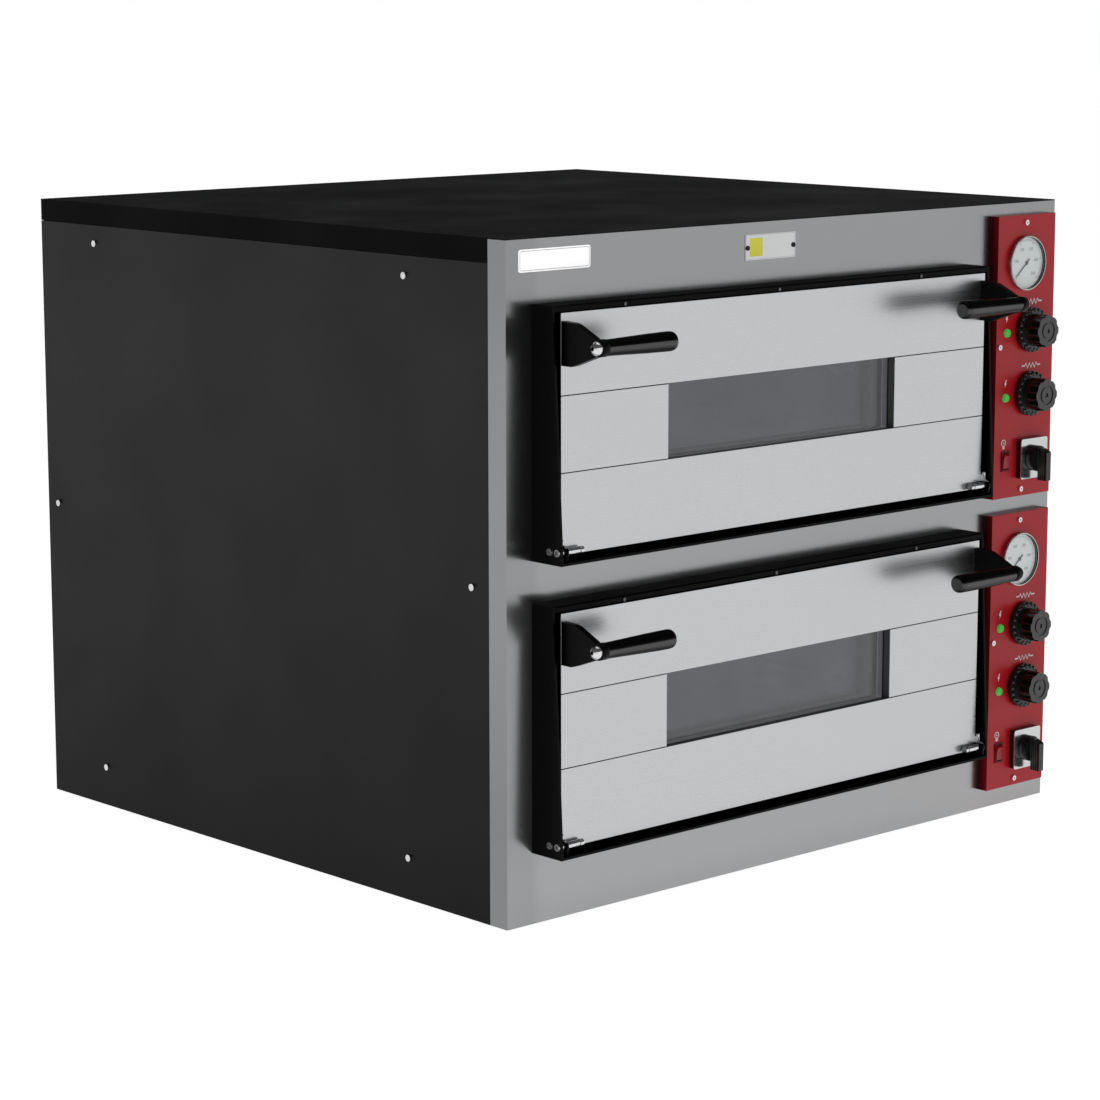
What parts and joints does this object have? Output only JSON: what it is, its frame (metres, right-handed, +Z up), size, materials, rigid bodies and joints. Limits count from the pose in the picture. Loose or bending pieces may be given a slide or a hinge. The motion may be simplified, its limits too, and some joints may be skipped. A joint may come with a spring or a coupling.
{
  "type": "countertop pizza oven",
  "caption": "Electric countertop pizza oven with stacked baking decks, bottom-hinged glazed doors with end handles, and a red control panel per deck.",
  "frame": {"origin": "centre of the cabinet's footprint on its underside, the plane that rests on the counter", "axes": "+Z up, -Y towards the user (door side), +X to the user's right when facing the doors"},
  "size_m": [0.9044, 0.9822, 0.746],
  "materials": {
    "charcoal_paint": "semi-matt powder coat",
    "black_paint": "semi-matt powder coat",
    "brushed_stainless": "brushed",
    "bright_stainless": "satin",
    "polished_steel": "polished",
    "liner_steel": "aluminised sheet, satin",
    "fire_stone": "rough",
    "element_sheath": "oxidised",
    "mineral_wool": "fibrous",
    "galvanised": "zinc coated",
    "red_paint": "satin powder coat",
    "dial_face": "satin",
    "clear_glass": "clear",
    "green_lens": "glossy",
    "black_plastic": "satin",
    "white_print": "printed",
    "white_plastic": "glossy",
    "brass": "plain",
    "lamp_ceramic": "glazed",
    "oven_glass": "tempered, clear",
    "red_plastic": "glossy",
    "needle_black": "matt"
  },
  "bodies": {
    "cabinet": {"base_pan": "charcoal_paint", "side_panel_left": "charcoal_paint", "side_panel_right": "charcoal_paint", "rear_panel": "charcoal_paint", "top_cover": "black_paint", "upper_surround": "black_paint", "lower_surround": "black_paint", "fascia": "brushed_stainless", "switch_plates": "brushed_stainless", "rating_plate": "bright_stainless", "shell_screws": "polished_steel", "blind_rivets": "polished_steel", "hinge_pins": "polished_steel", "stop_pins": "polished_steel", "control_panel_screws": "polished_steel", "gauge_cases": "polished_steel", "upper_chamber": "liner_steel", "lower_chamber": "liner_steel", "hearth_stones": "fire_stone", "heating_elements": "element_sheath", "insulation_blankets": "mineral_wool", "inner_frame": "galvanised", "upper_control_panel": "red_paint", "lower_control_panel": "red_paint", "gauge_dials": "dial_face", "gauge_glasses": "clear_glass", "indicator_lamps": "green_lens", "control_gear": "black_plastic", "rocker_bezels": "black_plastic", "cable_gland": "black_plastic", "panel_symbols": "white_print", "name_badge": "white_plastic", "equipotential_stud": "brass", "chamber_lamps": "lamp_ceramic"},
    "upper_door": {"upper_door_box": "black_paint", "upper_door_strips": "bright_stainless", "upper_door_side_plates": "bright_stainless", "upper_hinge_lugs": "bright_stainless", "upper_handle_screws": "polished_steel", "upper_handle_brackets": "black_plastic", "upper_handle_grips": "black_plastic", "upper_door_panes": "oven_glass"},
    "lower_door": {"lower_door_box": "black_paint", "lower_door_strips": "bright_stainless", "lower_door_side_plates": "bright_stainless", "lower_hinge_lugs": "bright_stainless", "lower_handle_screws": "polished_steel", "lower_handle_brackets": "black_plastic", "lower_handle_grips": "black_plastic", "lower_door_panes": "oven_glass"},
    "upper_ceiling_knob_body": {"upper_ceiling_knob": "black_plastic"},
    "upper_floor_knob_body": {"upper_floor_knob": "black_plastic"},
    "lower_ceiling_knob_body": {"lower_ceiling_knob": "black_plastic"},
    "lower_floor_knob_body": {"lower_floor_knob": "black_plastic"},
    "upper_main_lever_body": {"upper_main_lever": "black_plastic"},
    "lower_main_lever_body": {"lower_main_lever": "black_plastic"},
    "upper_light_rocker_body": {"upper_light_rocker": "red_plastic"},
    "lower_light_rocker_body": {"lower_light_rocker": "red_plastic"},
    "upper_gauge_needle_body": {"upper_gauge_needle": "needle_black"},
    "lower_gauge_needle_body": {"lower_gauge_needle": "needle_black"}
  },
  "joints": [
    {"name": "upper_door_hinge", "type": "hinge", "parent": "cabinet", "child": "upper_door", "pos_m": [-0.0625, -0.47, 0.415], "axis": [1, 0, 0], "range_deg": [0, 90]},
    {"name": "upper_ceiling_knob_turn", "type": "hinge", "parent": "cabinet", "child": "upper_ceiling_knob_body", "pos_m": [0.393, -0.449, 0.5915], "axis": [0, 1, 0], "range_deg": [0, 270]},
    {"name": "upper_floor_knob_turn", "type": "hinge", "parent": "cabinet", "child": "upper_floor_knob_body", "pos_m": [0.393, -0.449, 0.5135], "axis": [0, 1, 0], "range_deg": [0, 270]},
    {"name": "upper_main_lever_turn", "type": "hinge", "parent": "cabinet", "child": "upper_main_lever_body", "pos_m": [0.3972, -0.449, 0.4342], "axis": [0, 1, 0], "range_deg": [0, 90]},
    {"name": "upper_light_rocker_tilt", "type": "hinge", "parent": "cabinet", "child": "upper_light_rocker_body", "pos_m": [0.3515, -0.438, 0.4335], "axis": [-1, 0, 0], "range_deg": [0, 16]},
    {"name": "upper_gauge_needle_turn", "type": "hinge", "parent": "cabinet", "child": "upper_gauge_needle_body", "pos_m": [0.3815, -0.439, 0.673], "axis": [0, 1, 0], "range_deg": [0, 270]},
    {"name": "lower_door_hinge", "type": "hinge", "parent": "cabinet", "child": "lower_door", "pos_m": [-0.0625, -0.47, 0.094], "axis": [1, 0, 0], "range_deg": [0, 90]},
    {"name": "lower_ceiling_knob_turn", "type": "hinge", "parent": "cabinet", "child": "lower_ceiling_knob_body", "pos_m": [0.393, -0.449, 0.228], "axis": [0, 1, 0], "range_deg": [0, 270]},
    {"name": "lower_floor_knob_turn", "type": "hinge", "parent": "cabinet", "child": "lower_floor_knob_body", "pos_m": [0.393, -0.449, 0.15], "axis": [0, 1, 0], "range_deg": [0, 270]},
    {"name": "lower_main_lever_turn", "type": "hinge", "parent": "cabinet", "child": "lower_main_lever_body", "pos_m": [0.3972, -0.449, 0.0707], "axis": [0, 1, 0], "range_deg": [0, 90]},
    {"name": "lower_light_rocker_tilt", "type": "hinge", "parent": "cabinet", "child": "lower_light_rocker_body", "pos_m": [0.3515, -0.438, 0.07], "axis": [-1, 0, 0], "range_deg": [0, 16]},
    {"name": "lower_gauge_needle_turn", "type": "hinge", "parent": "cabinet", "child": "lower_gauge_needle_body", "pos_m": [0.3815, -0.439, 0.3095], "axis": [0, 1, 0], "range_deg": [0, 270]}
  ]
}
